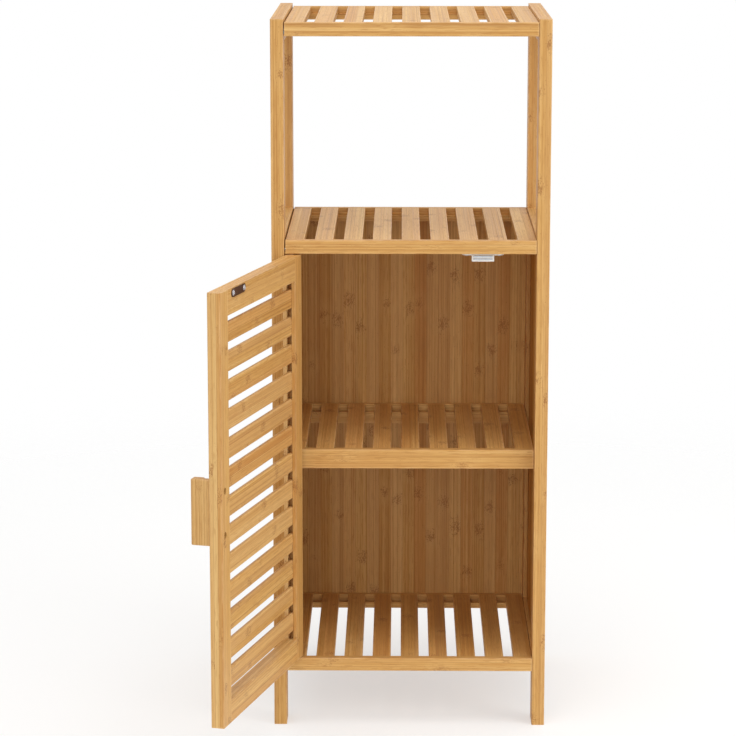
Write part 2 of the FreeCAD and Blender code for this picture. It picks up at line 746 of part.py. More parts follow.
def door_handle():
    """A profiled finger pull, flush towards the door's free edge, with a lip on its head to hook fingers behind."""
    body = new_body("door_handle")
    narrow, wide = "sizes.handle_neck_width", "sizes.handle_head_width"
    neck = "sizes.handle_neck_length"
    reach = f"({neck} + sizes.handle_head_length)"
    section = new_sketch(body, "XY_Plane")
    draw_polygon(section, (0, 0), (narrow, 0), (narrow, neck), (wide, neck), (wide, reach), (0, reach))
    pad(body, section, "sizes.handle_height")
    for radius, sides, across in (
        ("sizes.handle_neck_round", (narrow,), neck),
        ("sizes.handle_lip_round", (wide,), neck),
        ("sizes.handle_head_round", (0, wide), reach),
    ):
        corners = [FreeCAD.Vector(value_of(side), value_of(across), 0) for side in sides]
        round_edges(body, radius, lambda at, along: any(stands_at(at, corner) for corner in corners))
    ends = (0, value_of("sizes.handle_height"))
    round_edges(body, "sizes.handle_end_round", lambda at, along: on_level(at, ends) and at.y > NEAR)
    bores = new_sketch(body, "XZ_Plane")
    for sign in "-+":
        level = f"sizes.handle_height / 2 {sign} sizes.handle_screw_spacing / 2"
        draw_circle(bores, f"{narrow} / 2", level, "layout.handle_screw_hole")
    length = "sizes.handle_screw_length - layout.handle_screw_in_stile + sizes.screw_clearance"
    pocket(body, bores, length)
    hang(
        body,
        f"layout.door_free_edge - sizes.handle_inset + {narrow} / 2",
        "layout.door_outer_face",
        "layout.door_bottom + layout.handle_middle - sizes.handle_height / 2",
        turn=180,
    )


def handle_screws():
    """The two screws that hold the handle, their heads deep in the free stile."""
    pieces = []
    for level in ("layout.handle_screw_low", "layout.handle_screw_low + sizes.handle_screw_spacing"):
        body = screw(
            "handle_screw",
            "sizes.handle_screw_diameter",
            "sizes.handle_screw_length",
            "sizes.handle_screw_head",
            "sizes.handle_screw_head_height",
            slot_drive,
        )
        hang(
            body,
            "layout.door_free_edge - sizes.handle_inset",
            "layout.door_outer_face + layout.handle_screw_in_stile",
            f"layout.door_bottom + {level}",
            turn=180,
        )
        pieces.append(body)
    group("handle_screws", pieces)


def strike_screw_sides():
    """How far along the door from the pivot axis each strike screw stands."""
    return [f"layout.strike_middle {sign} sizes.strike_screw_spacing / 2" for sign in "-+"]


def strike_plate():
    """A small steel plate with rounded corners and two holes, flat on the inside of the door's top rail."""
    body = board("strike_plate", "sizes.strike_length", "sizes.strike_thickness", "sizes.strike_height")
    round_edges(body, "sizes.strike_corner", lambda at, along: abs(along.y) > 0.9)
    holes = new_sketch(body, "XZ_Plane")
    for sign in "-+":
        across = f"sizes.strike_length / 2 {sign} sizes.strike_screw_spacing / 2"
        draw_circle(holes, across, "sizes.strike_height / 2", "layout.strike_screw_hole")
    pocket(body, holes, "sizes.strike_thickness")
    hang(
        body,
        "layout.strike_middle - sizes.strike_length / 2",
        "layout.door_inner_face",
        "layout.strike_centre_level - sizes.strike_height / 2",
    )


def strike_holes(rail, level):
    """The blind holes in the door's top rail for the strike plate's screws."""
    holes = new_sketch(rail, "XZ_Plane", "-sizes.door_thickness")
    for along in strike_screw_sides():
        across = f"{along} - sizes.stile_width + sizes.pivot_inset"
        draw_circle(holes, across, f"layout.strike_centre_level - ({level})", "layout.strike_screw_hole")
    length = "sizes.strike_screw_length - sizes.strike_thickness + sizes.screw_clearance"
    pocket(rail, holes, length, reverse=True)


def strike_screws():
    """The two round-headed screws of the strike plate."""
    pieces = []
    for along in strike_screw_sides():
        body = screw(
            "strike_screw",
            "sizes.strike_screw_diameter",
            "sizes.strike_screw_length",
            "sizes.strike_screw_head",
            "sizes.strike_screw_head_height",
            slot_drive,
        )
        face = "layout.door_inner_face + sizes.strike_thickness"
        hang(body, along, face, "layout.strike_centre_level", turn=180)
        pieces.append(body)
    group("strike_plate_screws", pieces)


def catch_screw_sides():
    """How far from the catch's middle each of its screws stands."""
    return [f"{sign} sizes.catch_screw_spacing / 2" for sign in "-+"]


def catch_holes(rail):
    """The blind holes under the cabinet top's front rail for the catch's screws."""
    holes = new_sketch(rail, "XY_Plane")
    for side in catch_screw_sides():
        across = f"layout.catch_middle {side} - layout.shelf_left"
        deep = "layout.catch_front + sizes.catch_depth / 2 - layout.front"
        draw_circle(holes, across, deep, "layout.catch_screw_hole")
    length = "sizes.catch_screw_length - sizes.catch_flange_thickness + sizes.screw_clearance"
    pocket(rail, holes, length, reverse=True)


def catch_housing():
    """A moulded catch: a screw flange above a block with two slots for pole plates and a pocket for the magnet."""
    body = new_body("catch_housing")
    flange = new_sketch(body, "XY_Plane", "layout.catch_body_height")
    draw_rectangle(flange, 0, "sizes.catch_flange_setback", "sizes.catch_flange_width", "sizes.catch_depth")
    pad(body, flange, "sizes.catch_flange_thickness")
    round_edges(body, "sizes.catch_flange_corner", lambda at, along: abs(along.z) > 0.9)
    start = "(sizes.catch_flange_width - sizes.catch_body_width) / 2"
    block = new_sketch(body, "XY_Plane")
    draw_rectangle(block, start, 0, f"{start} + sizes.catch_body_width", "sizes.catch_depth")
    pad(body, block, "layout.catch_body_height")
    round_edges(body, "sizes.catch_round", lambda at, along: at.z < NEAR)

    slot_start = "(sizes.catch_flange_width - layout.pole_slot_width) / 2"
    slots = new_sketch(body, "XZ_Plane")
    for low in ("sizes.pole_low", "sizes.pole_low + layout.pole_slot + sizes.magnet_thickness"):
        far = f"{slot_start} + layout.pole_slot_width"
        draw_rectangle(slots, slot_start, low, far, f"{low} + layout.pole_slot")
    pocket(body, slots, "layout.pole_slot_depth")
    magnet_start = "(sizes.catch_flange_width - sizes.magnet_width) / 2 - sizes.pole_clearance"
    magnet_far = "(sizes.catch_flange_width + sizes.magnet_width) / 2 + sizes.pole_clearance"
    magnet_low = "sizes.pole_low + layout.pole_slot"
    nest = new_sketch(body, "XZ_Plane", "-sizes.catch_depth")
    draw_rectangle(nest, magnet_start, magnet_low, magnet_far, f"{magnet_low} + sizes.magnet_thickness")
    pocket(body, nest, "sizes.catch_depth - sizes.catch_web", reverse=True)

    holes = new_sketch(body, "XY_Plane", "sizes.catch_height")
    for side in catch_screw_sides():
        across = f"sizes.catch_flange_width / 2 {side}"
        draw_circle(holes, across, "sizes.catch_depth / 2", "layout.catch_screw_hole")
    pocket(body, holes, "sizes.catch_flange_thickness")
    place(
        body,
        "layout.catch_middle - sizes.catch_flange_width / 2",
        "layout.catch_front",
        "layout.catch_top - sizes.catch_height",
    )


def catch_pole_plates():
    """The two steel plates that carry the magnet's pull to the strike plate and stand a little proud."""
    body = new_body("catch_pole_plates")
    section = new_sketch(body, "XY_Plane")
    draw_rectangle(section, 0, 0, "sizes.pole_width", "layout.pole_length")
    plate = pad(body, section, "sizes.pole_thickness")
    repeat(body, [plate], "Z_Axis", "layout.pole_slot + sizes.magnet_thickness", 2)
    place(
        body,
        "layout.catch_middle - sizes.pole_width / 2",
        "layout.catch_front - sizes.pole_proud",
        "layout.catch_top - sizes.catch_height + sizes.pole_low + sizes.pole_clearance",
    )


def catch_magnet():
    """The flat magnet between the pole plates, pushed in from the back of the catch."""
    depth = "sizes.catch_depth - sizes.catch_web - sizes.pole_clearance"
    body = board("catch_magnet", "sizes.magnet_width", depth, "sizes.magnet_thickness")
    place(
        body,
        "layout.catch_middle - sizes.magnet_width / 2",
        "layout.catch_front + sizes.catch_web + sizes.pole_clearance",
        "layout.catch_top - sizes.catch_height + sizes.pole_low + layout.pole_slot",
    )


def catch_screws():
    """The two screws that hold the catch up against the rail."""
    pieces = []
    for side in catch_screw_sides():
        body = screw(
            "catch_screw",
            "sizes.catch_screw_diameter",
            "sizes.catch_screw_length",
            "sizes.catch_screw_head",
            "sizes.catch_screw_head_height",
            slot_drive,
        )
        body.Placement.Rotation = FreeCAD.Rotation(FreeCAD.Vector(1, 0, 0), 90)
        place(
            body,
            f"layout.catch_middle {side}",
            "layout.catch_front + sizes.catch_depth / 2",
            "layout.catch_top - sizes.catch_flange_thickness",
        )
        pieces.append(body)
    group("catch_screws", pieces)


# Side frames and back
for frame_side in ("left", "right"):
    post("front", frame_side)
    post("rear", frame_side)
    side_rail("top", frame_side, "sizes.overall_height", None)
    side_rail("mid", frame_side, "layout.mid_rail_top", "bottom")
    side_rail("bottom", frame_side, "layout.bottom_rail_top", "top")
    side_panel(frame_side)
    frame_screws(frame_side)
back_panel()

# Shelves
front_rails = {}
for each_shelf in SHELVES:
    front_rails[each_shelf["name"]] = shelf_rail(each_shelf, "front")
    shelf_rail(each_shelf, "rear")
    shelf_slats(each_shelf)

# Door
hinge_stile = door_stile("hinge", "-sizes.pivot_inset", hinged=True)
free_stile = door_stile("free", "layout.door_free_edge - sizes.stile_width", hinged=False)
top_rail_level = "layout.door_top - sizes.door_top_rail_height"
tenon_top = "sizes.door_top_rail_height - sizes.tenon_shoulder"
door_top_rail = door_rail("top", "sizes.door_top_rail_height", top_rail_level, 0, tenon_top)
bottom_height = "sizes.door_bottom_rail_height"
door_rail("bottom", bottom_height, "layout.door_bottom", "sizes.tenon_shoulder", bottom_height)
door_slats()
handle_holes(free_stile)
door_handle()
handle_screws()

# Pivots
pin_seats(hinge_stile)
pivot_pin("top", "layout.door_top - sizes.pin_seat")
pivot_pin("bottom", "layout.door_bottom - sizes.pin_reach")
bush_seat(front_rails["cabinet_top"], from_above=False)
bush_seat(front_rails["bottom_shelf"], from_above=True)
pivot_bush("top", "layout.catch_top", upside_down=False)
pivot_bush("bottom", "sizes.bottom_shelf_level", upside_down=True)

# Catch and strike plate
strike_plate()
strike_holes(door_top_rail, top_rail_level)
strike_screws()
catch_holes(front_rails["cabinet_top"])
catch_housing()
catch_pole_plates()
catch_magnet()
catch_screws()

# Every feature has to be sound before anything is written
doc.recompute()
for item in doc.Objects:
    if "Invalid" in item.State or "Error" in item.State:
        raise RuntimeError(f"{item.Name} failed: {item.State}")
for node in nodes:
    if node.Shape.isNull() or not node.Shape.isValid() or not node.Shape.Solids:
        raise RuntimeError(f"{node.Label} has no sound shape")
os.makedirs("parts", exist_ok=True)
for node in nodes:
    node.Shape.exportStep(f"parts/{node.Label}.step")
print(f"{len(nodes)} nodes written")
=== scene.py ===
import json
import math

import bpy
import numpy as np
from mathutils import Matrix, Vector


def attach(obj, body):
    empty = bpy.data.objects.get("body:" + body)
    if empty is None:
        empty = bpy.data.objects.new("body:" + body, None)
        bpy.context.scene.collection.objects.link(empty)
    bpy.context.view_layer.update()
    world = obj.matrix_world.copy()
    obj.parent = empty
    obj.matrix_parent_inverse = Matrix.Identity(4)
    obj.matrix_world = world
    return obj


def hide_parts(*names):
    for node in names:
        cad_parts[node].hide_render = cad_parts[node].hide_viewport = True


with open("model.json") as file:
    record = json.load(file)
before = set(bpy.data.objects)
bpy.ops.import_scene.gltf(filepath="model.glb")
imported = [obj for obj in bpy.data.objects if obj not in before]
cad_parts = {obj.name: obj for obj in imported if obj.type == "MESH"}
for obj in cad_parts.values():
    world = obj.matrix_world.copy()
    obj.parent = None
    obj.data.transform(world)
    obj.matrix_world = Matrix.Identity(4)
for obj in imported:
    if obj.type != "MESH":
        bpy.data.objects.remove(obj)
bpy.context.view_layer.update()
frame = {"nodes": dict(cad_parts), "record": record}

# Posts
# Four full-height uprights of laminated bamboo, six layers of strip glued one behind another, so that their
# fronts show the wide faces and knots of the strips, with eased outer edges and a clear satin lacquer.
# Screws draw the shelf rails against their inner faces.
MM = 0.001
RIGHT = Vector((1, 0, 0))
BACK = Vector((0, 1, 0))
UP = Vector((0, 0, 1))


def seen(red, green, blue):
    """A screen colour, 0 to 255, as the linear colour of a shader: a straight foot, then a power of 2.4."""
    share = np.array((red, green, blue)) / 255
    bent = np.where(share <= 0.04045, share / 12.92, ((share + 0.055) / 1.055) ** 2.4)
    return (*bent.tolist(), 1.0)


def feed(socket, source):
    """Drive a node's input by another node's output, or set it to a plain value."""
    if isinstance(source, Field):
        source = source.socket
    if isinstance(source, bpy.types.NodeSocket):
        socket.id_data.links.new(source, socket)
    else:
        socket.default_value = source


class Field:
    """A number that changes over a surface. Sums on it add Math nodes to the tree that it belongs to."""

    def __init__(self, socket):
        self.socket = socket
        self.tree = socket.id_data

    def through(self, operation, *others):
        """The result of one Math node on this number and the others."""
        step = self.tree.nodes.new("ShaderNodeMath")
        step.operation = operation
        for socket, source in zip(step.inputs, (self, *others)):
            feed(socket, source)
        return Field(step.outputs[0])

    def __add__(self, other):
        return self.through("ADD", other)

    def __sub__(self, other):
        return self.through("SUBTRACT", other)

    def __mul__(self, other):
        return self.through("MULTIPLY", other)

    def __truediv__(self, other):
        return self.through("DIVIDE", other)

    def whole(self):
        """The next whole number below."""
        return self.through("FLOOR")

    def within(self, low, high):
        """The number, held between two others."""
        return self.through("MAXIMUM", low).through("MINIMUM", high)

    def from_border(self, cell):
        """How far the number is from the nearest whole multiple of a cell's width."""
        part = (self / cell).through("FRACT")
        return (((part - 0.5).through("ABSOLUTE") * -1.0) + 0.5) * cell

    def rising(self, low, high):
        """0 up to low, 1 from high on, and a smooth step between."""
        step = self.tree.nodes.new("ShaderNodeMapRange")
        step.interpolation_type = "SMOOTHSTEP"
        for name, source in (("Value", self), ("From Min", low), ("From Max", high)):
            feed(step.inputs[name], source)
        return Field(step.outputs[0])

    def falling(self, low, high):
        """1 up to low, 0 from high on, and a smooth step between."""
        return self.rising(low, high) * -1.0 + 1.0


def parts_of(vector):
    """The three numbers of a vector socket."""
    step = vector.id_data.nodes.new("ShaderNodeSeparateXYZ")
    feed(step.inputs[0], vector)
    return [Field(socket) for socket in step.outputs]


def joined(first, *others):
    """One vector from three numbers."""
    step = first.tree.nodes.new("ShaderNodeCombineXYZ")
    for socket, source in zip(step.inputs, (first, *others)):
        feed(socket, source)
    return step.outputs[0]


def random_of(first, *others):
    """Three steady random numbers, 0 to 1, for the cell that three whole numbers name."""
    step = first.tree.nodes.new("ShaderNodeTexWhiteNoise")
    feed(step.inputs["Vector"], joined(first, *others))
    split = first.tree.nodes.new("ShaderNodeSeparateColor")
    feed(split.inputs[0], step.outputs["Color"])
    return [Field(socket) for socket in split.outputs]


def cloud(first, *others, detail=2.0):
    """Soft noise about 0.5 at a point given by three numbers, with one bump to each unit of length."""
    step = first.tree.nodes.new("ShaderNodeTexNoise")
    feed(step.inputs["Vector"], joined(first, *others))
    step.inputs["Scale"].default_value = 1.0
    step.inputs["Detail"].default_value = detail
    return Field(step.outputs[0])


def drawn(colour, towards, share):
    """A colour drawn towards another by a share that changes over the surface."""
    step = share.tree.nodes.new("ShaderNodeMix")
    step.data_type = "RGBA"
    for number, source in ((0, share), (6, colour), (7, towards)):
        feed(step.inputs[number], source)
    return step.outputs[2]


def shaded(share, *stops):
    """A colour that runs through evenly spread stops as the share goes from 0 to 1."""
    step = share.tree.nodes.new("ShaderNodeValToRGB")
    feed(step.inputs[0], share)
    band = step.color_ramp.elements
    while len(band) < len(stops):
        band.new(0.5)
    for number, colour in enumerate(stops):
        band[number].position = number / (len(stops) - 1)
        band[number].color = colour
    return step.outputs[0]


def new_group(name, inputs, outputs):
    """An empty shader node group with its sockets, as the tree, its entry node and its exit node."""
    tree = bpy.data.node_groups.new(name, "ShaderNodeTree")
    for way, sockets in (("INPUT", inputs), ("OUTPUT", outputs)):
        for socket, kind in sockets.items():
            tree.interface.new_socket(socket, in_out=way, socket_type=f"NodeSocket{kind}")
    return tree, tree.nodes.new("NodeGroupInput"), tree.nodes.new("NodeGroupOutput")


FINISH_OUTPUTS = {"Color": "Color", "Roughness": "Float", "Height": "Float"}
STRAW = seen(222, 182, 118)
HONEY = seen(209, 163, 97)
AMBER = seen(195, 146, 81)
TOFFEE = seen(170, 116, 58)
ASHEN = seen(222, 182, 130)
GLUE_LINE = seen(146, 93, 46)
RUSSET = seen(198, 134, 76)
KNOT = seen(126, 64, 22)
# The light colour of the edges: sanding, and a painted highlight along them
SANDED_HIGHLIGHT = seen(238, 202, 151)
SKIN = 0.6 * MM
KNOT_SPACING = 210 * MM
KNOT_LENGTH = 15 * MM
KNOT_WIDTH = 12 * MM
HALO_CORE = 6 * MM
HALO_REACH = 30 * MM
FIBRE_SWAY = 2.5 * MM
SEAM_CORE = 0.12 * MM
SEAM_REACH = 0.5 * MM
SANDED_HIGHLIGHT_CORE = 0.4 * MM
SANDED_HIGHLIGHT_REACH = 2.4 * MM
GRAIN_DEPTH = 0.25 * MM

# Steps that keep the random numbers of slats, layers, knots and draws apart, and the range of the noise
SLAT_STEP = 17.0
LAYER_STEP = 7.0
KNOT_STEP = 60.0
DRAW_STEP = 50.0
NOISE_RANGE = 50.0


def laminated_bamboo():
    """Bamboo lumber in a board's own axes: x along the grain, y across the strips, z through the layers.

    Each strip of each layer draws its own tone and the places of its knots. Noise stretched along the grain
    gives fibres, dark lines mark the glue and dark flecks gather at each knot. The edges are painted
    lighter, partly as sanding and partly as a painted highlight along them.
    """
    names = ("Pitch", "Strip", "Layer", "Seed", "Tone", "Contrast", "Knots")
    inputs = {"Place": "Vector", "Size": "Vector"}
    inputs.update({name: "Float" for name in names})
    tree, entry, leave = new_group("laminated_bamboo", inputs, FINISH_OUTPUTS)
    x, y_row, z_own = parts_of(entry.outputs["Place"])
    length, width, thickness = parts_of(entry.outputs["Size"])
    pitch, strip, layer, seed, board_tone, contrast, knots = (Field(entry.outputs[name]) for name in names)

    # The slat of a row, the layer of its board and the strip of that layer that a point lies in
    slat = (y_row / pitch).whole()
    y_own = y_row - slat * pitch
    y = y_own.within(SKIN, width - SKIN)
    z = z_own.within(SKIN, thickness - SKIN)
    sheet = (z / layer).whole()
    shift = random_of(sheet, slat, seed)[0]
    y_strip = y + shift * strip
    column = (y_strip / strip).whole() + slat * SLAT_STEP
    tone, start, ash = random_of(column, sheet, seed)
    offset = start * NOISE_RANGE

    def noise(along, across, level=y, detail=2.0):
        """Noise in a point's strip, with so many bumps to a metre along the grain and across it."""
        return cloud(x * along + offset, level * across, z * across, detail=detail)

    # Knots: one cluster to each length of strip, some faint, with the fibres swirling past it
    along = x / KNOT_SPACING + start
    ahead, aside, strength = random_of(column, sheet * LAYER_STEP + along.whole(), seed + KNOT_STEP)
    from_knot = (along.through("FRACT") - 0.5 + (ahead - 0.5) * 0.5).through("ABSOLUTE") * KNOT_SPACING
    from_middle = ((y_strip / strip).through("FRACT") - 0.5 + (aside - 0.5) * 0.4) * strip
    ragged = (noise(170.0, 170.0) - 0.5) * 1.4
    growth = strength * 0.8 + 0.5
    reach_x = from_knot / (growth * KNOT_LENGTH)
    reach_y = from_middle / (growth * KNOT_WIDTH)
    knot = ((reach_x * reach_x + reach_y * reach_y).through("SQRT") + ragged).falling(0.0, 1.1)
    knot = knot * (strength.rising(0.05, 0.5) * 0.4 + 0.6)
    flecks = (noise(480.0, 1000.0, detail=0.0) + knot * 0.36).rising(0.76, 0.86)
    halo = from_knot.falling(HALO_CORE, HALO_REACH)
    swirl = (noise(70.0, 40.0) - 0.5) * halo * FIBRE_SWAY
    lean = (noise(4.0, 12.0) - 0.5) * FIBRE_SWAY
    y_fibre = y + swirl + lean

    # Fibres from broad to fine, pores, dark streaks and hairlines
    broad = cloud(x * 2.5 + offset, y_fibre * 110.0, z * 150.0)
    coarse = noise(2.0, 450.0, y_fibre, detail=3.0)
    fine = noise(30.0, 1500.0, y_fibre, detail=1.0)
    pores = noise(60.0, 1000.0, y_fibre, detail=0.0).rising(0.6, 0.72)
    streaks = noise(1.1, 640.0, y_fibre, detail=1.0).rising(0.54, 0.7)
    hairlines = noise(1.6, 1000.0, y_fibre, detail=1.0).rising(0.55, 0.64)

    # Glue lines between strips and layers, worn in places
    seam = y_strip.from_border(strip).through("MINIMUM", z.from_border(layer))
    worn = noise(14.0, 90.0).rising(0.35, 0.6)
    glue = seam.falling(SEAM_CORE, SEAM_REACH) * (worn * 0.7 + 0.3)

    # Sanded edges, drawn lighter as sanding and as a painted highlight: of the three distances to the
    # board's faces, the middle one leads to its nearest edge
    gap_x = x.through("MINIMUM", length - x)
    gap_y = y_own.through("MINIMUM", width - y_own)
    gap_z = z_own.through("MINIMUM", thickness - z_own)
    nearer = gap_x.through("MINIMUM", gap_y)
    farther = gap_x.through("MAXIMUM", gap_y)
    to_edge = nearer.through("MAXIMUM", farther.through("MINIMUM", gap_z))
    patchy = cloud(x * 35.0, y_own * 35.0, z_own * 35.0).rising(0.3, 0.7)
    sanded_highlight = to_edge.falling(SANDED_HIGHLIGHT_CORE, SANDED_HIGHLIGHT_REACH) * patchy

    # Finish
    share = (tone - 0.5) * contrast + (broad - 0.5) * 0.7 + (coarse - 0.5) * 1.3 + (fine - 0.5) * 0.4
    share = share + board_tone + 0.55
    colour = shaded(share, TOFFEE, AMBER, HONEY, STRAW)
    colour = drawn(colour, STRAW, halo * 0.2)
    colour = drawn(colour, GLUE_LINE, glue * 0.5)
    colour = drawn(colour, TOFFEE, pores * 0.4)
    colour = drawn(colour, ASHEN, ash.rising(0.55, 0.85) * contrast * 0.5)
    colour = drawn(colour, RUSSET, ash.falling(0.1, 0.4) * contrast * 0.6)
    colour = drawn(colour, TOFFEE, streaks * 0.4 + hairlines * 0.35)
    colour = drawn(colour, KNOT, (flecks * 0.5 + knot * 0.12) * knots)
    # The edges drawn lighter: partly sanding, partly a painted highlight
    colour = drawn(colour, SANDED_HIGHLIGHT, sanded_highlight * 0.3)
    feed(leave.inputs["Color"], colour)
    feed(leave.inputs["Roughness"], (coarse - 0.5) * 0.3 + glue * 0.1 - sanded_highlight * 0.06 + 0.46)
    feed(leave.inputs["Height"], coarse * 0.5 + fine * 0.3 - pores * 0.3 - glue * 0.6 - flecks * 0.3)
    return tree


def finished(name, group, place, bump, **values):
    """A material whose colour, roughness and bump come from a group read at a vector socket's place."""
    material = bpy.data.materials.new(name)
    material.use_nodes = True
    tree = material.node_tree
    shader = tree.nodes["Principled BSDF"]
    finish = tree.nodes.new("ShaderNodeGroup")
    finish.node_tree = group
    for socket, value in values.items():
        feed(finish.inputs[socket], value)
    relief = tree.nodes.new("ShaderNodeBump")
    relief.inputs["Strength"].default_value = 0.5
    relief.inputs["Distance"].default_value = bump
    feed(finish.inputs["Place"], place(tree))
    feed(relief.inputs["Height"], finish.outputs["Height"])
    feed(shader.inputs["Base Color"], finish.outputs["Color"])
    feed(shader.inputs["Roughness"], finish.outputs["Roughness"])
    feed(shader.inputs["Normal"], relief.outputs["Normal"])
    return material, shader


def placed(location, turn):
    """A maker of Object coordinates, first turned and then moved into a piece's own axes."""

    def place(tree):
        source = tree.nodes.new("ShaderNodeTexCoord")
        mapping = tree.nodes.new("ShaderNodeMapping")
        feed(mapping.inputs["Vector"], source.outputs["Object"])
        mapping.inputs["Location"].default_value = location
        mapping.inputs["Rotation"].default_value = turn.to_euler()
        return mapping.outputs["Vector"]

    return place


def own_box(node, turn):
    """The lowest and highest corner of a CAD node along turned axes."""
    mesh = frame["nodes"][node].data
    points = np.empty(len(mesh.vertices) * 3, np.float32)
    mesh.vertices.foreach_get("co", points)
    turned = points.reshape(-1, 3) @ np.array(turn).T
    return turned.min(axis=0), turned.max(axis=0)


def dress(node, material):
    """Give a CAD node its material."""
    slots = frame["nodes"][node].data.materials
    slots.clear()
    slots.append(material)


bamboo = laminated_bamboo()
board_seeds = {node: float(number) for number, node in enumerate(sorted(frame["nodes"]), start=1)}

# The pitch of a board that is no row, longer than any board
LONE_PITCH = 10.0


def dress_board(
    node, grain, across, strip, layers, row=None, tone=0.0, contrast=0.3, knots=0.5, gloss=0.2, draw=0
):
    """Bamboo on a board, or on a row of (count, width) boards, by the directions of its grain and strips.

    The board is glued up from layers of strips of one width. A tone above 0 is lighter, contrast is the
    difference between strips, and knots and gloss say how dark the knots are and how much the board
    shines. Another draw gives the same board other strips.
    """
    turn = Matrix((grain, across, grain.cross(across)))
    low, high = own_box(node, turn)
    length, width, thickness = (high - low).tolist()
    pitch = LONE_PITCH
    if row:
        count, own_width = row
        pitch = (width - own_width) / (count - 1)
        width = own_width
    material, shader = finished(
        f"bamboo_{node}",
        bamboo,
        placed(-low, turn),
        GRAIN_DEPTH,
        Size=(length, width, thickness),
        Pitch=pitch,
        Strip=strip,
        Layer=thickness / layers,
        Seed=board_seeds[node] + DRAW_STEP * draw,
        Tone=tone,
        Contrast=contrast,
        Knots=knots,
    )
    shader.inputs["Specular IOR Level"].default_value = gloss
    shader.inputs["Coat Weight"].default_value = 0.02
    shader.inputs["Coat Roughness"].default_value = 0.3
    dress(node, material)


SIDES = ("left", "right")
POST = {"strip": 20 * MM, "layers": 6, "knots": 0.9}
POST_TONES = {"left": -0.1, "right": -0.06}
for side in SIDES:
    for end in ("front", "rear"):
        dress_board(f"{end}_{side}_post", UP, RIGHT, tone=POST_TONES[side], **POST)

# Side rails
# Three cross rails in each side frame, top, middle and bottom, of the same lumber as the posts and fixed
# flush between them; the middle and bottom ones are grooved for the side panel.
for side in SIDES:
    for level in ("top", "mid", "bottom"):
        dress_board(f"{side}_{level}_rail", BACK, UP, strip=15 * MM, layers=4)

# Side and back panels
# Thin sheets glued up from wide flat strips of bamboo, duller than the boards, with the knots as dark
# clusters on their faces; the side panels lie in grooves of the side frames and the back in rabbets of the
# rear posts.
SHEET = {"strip": 17 * MM, "layers": 1, "knots": 0.75}
for side in SIDES:
    # The side panels are drawn darker than the boards: painted shade of the cabinet's inside
    dress_board(f"{side}_side_panel", UP, BACK, tone=-0.22, contrast=0.3, gloss=0.0, **SHEET)
dress_board("back_panel", UP, RIGHT, tone=0.03, contrast=0.55, gloss=0.15, draw=9, **SHEET)

# Shelf rails
# A front and a rear rail to each of the four shelves, rabbeted for the slats; the glued layers lie flat,
# so that they show as level lines along the front edge.
SHELVES = ("top_shelf", "cabinet_top", "inner_shelf", "bottom_shelf")
for shelf in SHELVES:
    for end in ("front", "rear"):
        dress_board(f"{shelf}_{end}_rail", RIGHT, BACK, strip=22 * MM, layers=3, tone=0.04, contrast=0.15)

# Shelf slats
# Nine flat slats to a shelf, each two layers of wide strip with softly rounded edges, glued into the
# rabbets of the rails with even gaps between.
SHELF_SLATS = (9, 24.5 * MM)
# The cabinet top's slats are drawn lighter, a painted sheen of light on their tops, and the bottom shelf's
# darker, painted shade of the cabinet's inside
SLAT_TONES_AND_PAINTED_LIGHT = {"top_shelf": 0.1, "cabinet_top": 0.28, "inner_shelf": 0.0, "bottom_shelf": -0.12}
for shelf, tone in SLAT_TONES_AND_PAINTED_LIGHT.items():
    look = {"tone": tone, "contrast": 0.45, "knots": 0.8}
    dress_board(f"{shelf}_slats", BACK, RIGHT, strip=19 * MM, layers=2, row=SHELF_SLATS, **look)

# Connector screws
# Zinc-plated steel screws with a hexagon socket, sunk flush in the outer faces of the posts, which pull the
# side frames against the ends of the shelf rails.
ZINC = seen(186, 188, 188)
ZINC_SHADE = seen(146, 148, 150)


def handled_finish():
    """A made surface in millimetres: cloudy tone, fine grain and a few scratches between two colours."""
    inputs = {"Place": "Vector", "Main": "Color", "Shade": "Color", "Rough": "Float"}
    tree, entry, leave = new_group("handled_finish", inputs, FINISH_OUTPUTS)
    x, y, z = (part / MM for part in parts_of(entry.outputs["Place"]))
    clouds = cloud(x * 0.22, y * 0.22, z * 0.22, detail=4.0)
    grain = cloud(x * 3.1, y * 3.1, z * 3.1, detail=2.0)
    lean = cloud(x * 0.5, y * 0.5, z * 0.5) * 3.0
    scratches = cloud(x * 0.3 + lean, y * 6.0, z * 6.0, detail=1.0).rising(0.66, 0.74)
    tone = (clouds - 0.5) * 1.6 + (grain - 0.5) * 0.8 + scratches * 0.3 + 0.35
    feed(leave.inputs["Color"], drawn(entry.outputs["Main"], entry.outputs["Shade"], tone.within(0.0, 1.0)))
    rough = Field(entry.outputs["Rough"]) + (clouds - 0.5) * 0.25 + (grain - 0.5) * 0.12 + scratches * 0.12
    feed(leave.inputs["Roughness"], rough)
    feed(leave.inputs["Height"], grain * 0.6 - scratches * 0.5)
    return tree


handled = handled_finish()
SCRATCH_DEPTH = 0.04 * MM


def handled_material(name, main, shade, roughness, metallic):
    """A metal or plastic finish on Object coordinates."""
    material, shader = finished(
        name,
        handled,
        placed((0.0, 0.0, 0.0), Matrix.Identity(3)),
        SCRATCH_DEPTH,
        Main=main,
        Shade=shade,
        Rough=roughness,
    )
    shader.inputs["Metallic"].default_value = metallic
    return material


zinc_steel = handled_material("zinc_steel", ZINC, ZINC_SHADE, 0.34, 1.0)
for side in SIDES:
    dress(f"{side}_frame_screws", zinc_steel)

